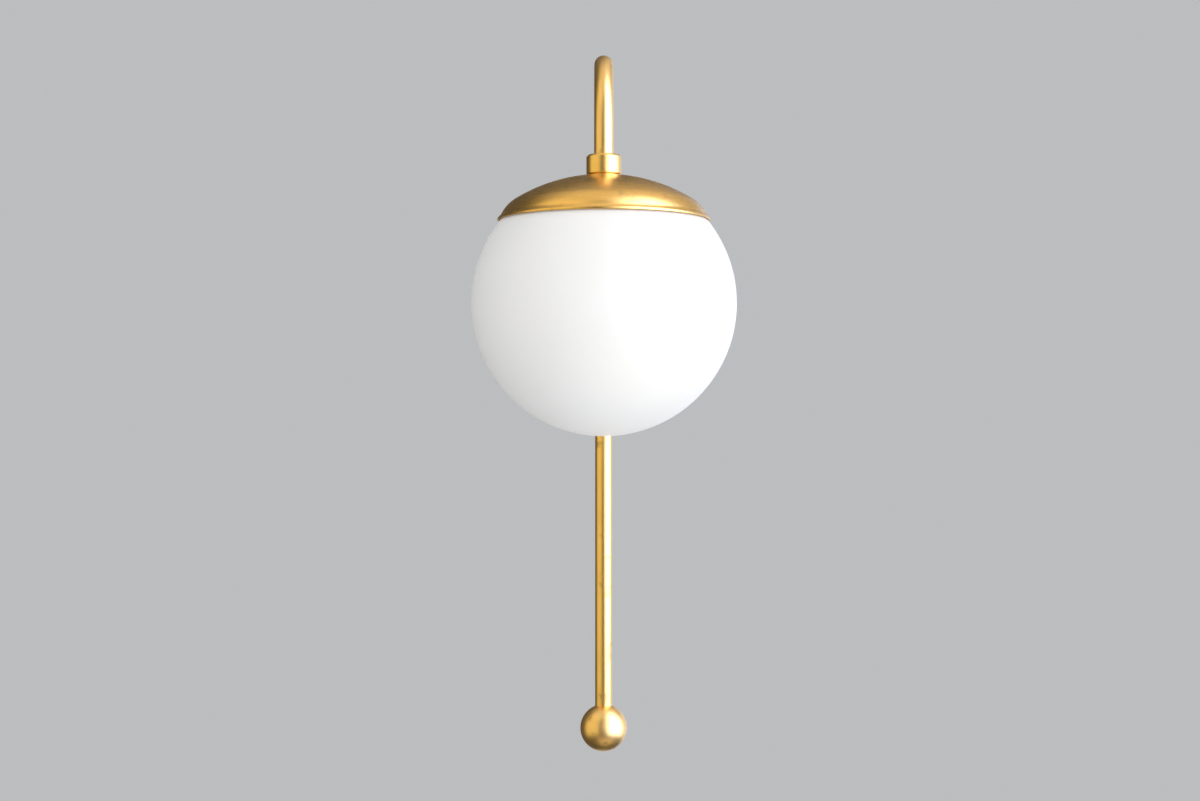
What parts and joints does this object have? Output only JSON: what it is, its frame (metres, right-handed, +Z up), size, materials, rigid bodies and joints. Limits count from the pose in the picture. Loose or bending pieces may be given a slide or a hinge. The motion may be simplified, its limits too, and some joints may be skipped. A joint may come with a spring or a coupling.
{
  "type": "wall sconce",
  "caption": "Brass wall sconce: opal glass globe under a shallow dome cap on a cane-shaped arm, with a straight rod and ball finial below and a round wall canopy behind.",
  "frame": {"origin": "centre of the wall canopy and of the crossbar's box-screw slots, on the wall plane; the globe's centre is level with it", "axes": "+Y points into the wall, the lamp stands out along -Y, +Z is up, +X is to the right seen from the front"},
  "size_m": [0.152, 0.2093, 0.4192],
  "materials": {
    "satin_brass": "satin, lightly aged",
    "opal_glass": "satin opal white",
    "zinc_steel": "zinc plated",
    "spring_steel": "bright rolled strip",
    "socket_steel": "white enamel",
    "screw_steel": "nickel plated",
    "porcelain": "glazed white porcelain",
    "contact_brass": "bright stamped strip",
    "nickel_base": "rolled and nickel plated",
    "solder": "soldered tip",
    "black_glass": "black insulating glass",
    "clear_glass": "clear",
    "phosphor": "yellow coating",
    "frame_wire": "drawn wire",
    "bushing_plastic": "moulded",
    "ground_green": "green dyed screw",
    "black_insulation": "lead insulation",
    "white_insulation": "lead insulation",
    "bare_copper": "bare copper",
    "connector_plastic": "moulded"
  },
  "bodies": {
    "fixture": {"dome_cap": "satin_brass", "collar": "satin_brass", "cane_arm": "satin_brass", "hub": "satin_brass", "lower_rod": "satin_brass", "ball_finial": "satin_brass", "wall_canopy": "satin_brass", "canopy_ball_nuts": "satin_brass", "crossbar": "zinc_steel", "canopy_studs": "zinc_steel", "stud_nuts": "zinc_steel", "canopy_washer": "zinc_steel", "canopy_nut": "zinc_steel", "canopy_nipple": "zinc_steel", "cap_nipple": "zinc_steel", "cap_washer": "zinc_steel", "cap_nut": "zinc_steel", "globe_spring": "spring_steel", "socket_cap": "socket_steel", "socket_screws": "screw_steel", "terminal_screws": "screw_steel", "socket_body": "porcelain", "screw_shell": "contact_brass", "centre_contact": "contact_brass", "contact_rivets": "contact_brass", "hot_terminal": "contact_brass", "neutral_terminal": "contact_brass", "lead_bushings": "bushing_plastic", "ground_screw": "ground_green", "hot_lead": "black_insulation", "neutral_lead": "white_insulation", "ground_lead": "bare_copper", "wire_connectors": "connector_plastic"},
    "globe": {"globe": "opal_glass"},
    "bulb_lift": {"bulb_contact": "solder"},
    "bulb": {"bulb_insulator": "black_glass", "bulb_base": "nickel_base", "bulb_envelope": "clear_glass", "bulb_stem": "clear_glass", "led_filaments": "phosphor", "filament_frame": "frame_wire"}
  },
  "joints": [
    {"name": "globe_pull", "type": "slide", "parent": "fixture", "child": "globe", "axis": [0, 0, -1], "range_m": [0, 0.12], "deforming": ["globe_spring"]},
    {"name": "bulb_travel", "type": "slide", "parent": "fixture", "child": "bulb_lift", "axis": [0, 0, -1], "range_m": [0, 0.0254]},
    {"name": "bulb_turn", "type": "hinge", "parent": "bulb_lift", "child": "bulb", "pos_m": [0, -0.13335, 0], "axis": [0, 0, -1], "range_deg": [0, 2520]}
  ],
  "couplings": [
    {"joint": "bulb_turn", "follows": "bulb_travel", "rad_per_m": 1731.4}
  ]
}
